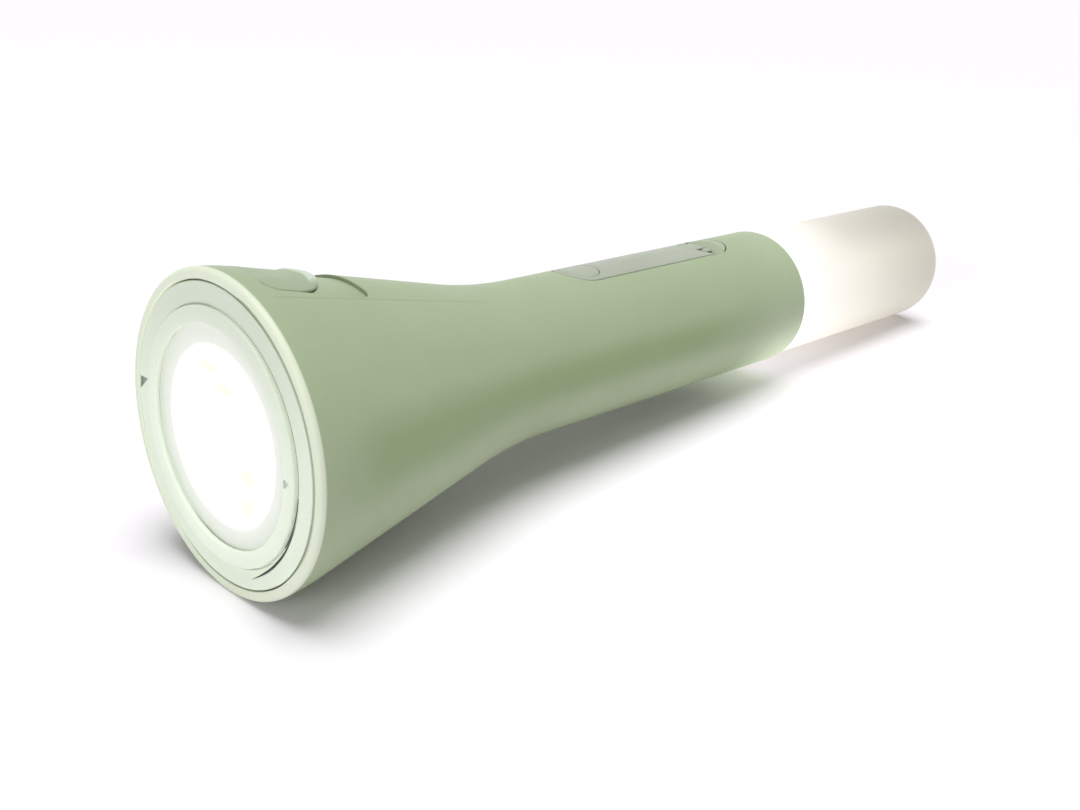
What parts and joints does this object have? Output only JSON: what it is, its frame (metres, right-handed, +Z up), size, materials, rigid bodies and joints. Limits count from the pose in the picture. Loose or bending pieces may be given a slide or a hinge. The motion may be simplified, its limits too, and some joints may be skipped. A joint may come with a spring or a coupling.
{
  "type": "flashlight",
  "caption": "Hand-cranked flashlight: flared round head with a twist lens ring and a top slide switch, slim handle with a flush fold-out crank, frosted lantern diffuser at the tail.",
  "frame": {"origin": "centre of the footprint on the surface that the torch lies on", "axes": "+X from the head towards the tail diffuser along the floor, +Z up, crank on top"},
  "size_m": [0.269, 0.0698, 0.0697],
  "materials": {
    "sage_shell": "fine satin moulded plastic, pale sage green",
    "pale_ring": "smooth moulded plastic, very pale green",
    "pale_slider": "satin moulded plastic, pale green",
    "crank_grey": "satin moulded plastic, greyish green",
    "clear_lens": "clear moulded lens",
    "frosted_diffuser": "frosted white translucent plastic",
    "reflector_coat": "metallised plastic",
    "circuit_board": "solder mask",
    "aluminium": "plain",
    "black_plastic": "plain",
    "battery_sleeve": "shrink sleeve on a steel can",
    "black_rubber": "plain",
    "brass": "plain",
    "copper_winding": "enamelled copper wire",
    "white_nylon": "moulded nylon",
    "steel": "plain"
  },
  "bodies": {
    "housing": {"main_housing": "sage_shell", "bezel_ring": "pale_ring", "reflector": "reflector_coat", "head_screw_1": "steel", "head_screw_2": "steel", "head_screw_3": "steel", "head_screw_4": "steel", "led_board": "circuit_board", "heat_sink": "aluminium", "switch_body": "black_plastic", "battery_cradle": "black_plastic", "battery_cell": "battery_sleeve", "contact_spring": "steel", "contact_plate": "brass", "lead_wire_lamp": "black_rubber", "lead_wire_tail": "black_rubber", "crank_tray": "sage_shell", "crank_hub": "crank_grey", "hinge_pin": "steel", "hub_bush": "brass", "hub_clip": "steel", "clutch_hub": "steel", "idler_axle": "steel", "stator_core": "steel", "stator_coil": "copper_winding", "gearbox_top_plate": "aluminium", "gearbox_base": "aluminium", "control_board": "circuit_board", "board_screw_1": "steel", "board_screw_2": "steel", "board_screw_3": "steel", "board_screw_4": "steel", "tail_bulkhead": "black_plastic", "tail_screw_1": "steel", "tail_screw_2": "steel", "tail_screw_3": "steel", "tail_led_board": "circuit_board", "diffuser": "frosted_diffuser", "diffuser_seal": "black_rubber"},
    "lens_ring": {"lens_ring": "pale_ring", "front_lens": "clear_lens", "lens_seal": "black_rubber"},
    "slider": {"switch_slider": "pale_slider"},
    "crank": {"crank_arm": "crank_grey", "knob_pin": "crank_grey"},
    "knob": {"crank_knob": "crank_grey"},
    "rotor": {"rotor": "steel"},
    "idler": {"idler_gear": "white_nylon"},
    "drive_gear": {"drive_gear": "white_nylon"}
  },
  "joints": [
    {"name": "lens_ring_twist", "type": "hinge", "parent": "housing", "child": "lens_ring", "pos_m": [-0.13225, 0, 0.03492], "axis": [0.9981, 0, -0.0615], "range_deg": [0, 178]},
    {"name": "switch_slide", "type": "slide", "parent": "housing", "child": "slider", "axis": [0.961, 0, -0.2767], "range_m": [0, 0.0065]},
    {"name": "crank_fold", "type": "hinge", "parent": "housing", "child": "crank", "pos_m": [0.02184, 0, 0.04316], "axis": [0, 1, 0], "range_deg": [0, 145]},
    {"name": "knob_spin", "type": "hinge", "parent": "crank", "child": "knob", "pos_m": [-0.02634, 0, 0.04174], "axis": [0.0615, 0, 0.9981], "continuous": true},
    {"name": "rotor_spin", "type": "hinge", "parent": "housing", "child": "rotor", "pos_m": [-0.00746, 0, 0.02605], "axis": [0.0615, 0, 0.9981], "continuous": true},
    {"name": "idler_spin", "type": "hinge", "parent": "housing", "child": "idler", "pos_m": [0.00792, 0, 0.02861], "axis": [0.0615, 0, 0.9981], "continuous": true},
    {"name": "drive_spin", "type": "hinge", "parent": "housing", "child": "drive_gear", "pos_m": [0.0241, 0, 0.03102], "axis": [0.0615, 0, 0.9981], "continuous": true}
  ],
  "couplings": [
    {"joint": "idler_spin", "follows": "rotor_spin", "ratio": -0.35714},
    {"joint": "drive_spin", "follows": "rotor_spin", "ratio": 0.11905}
  ]
}
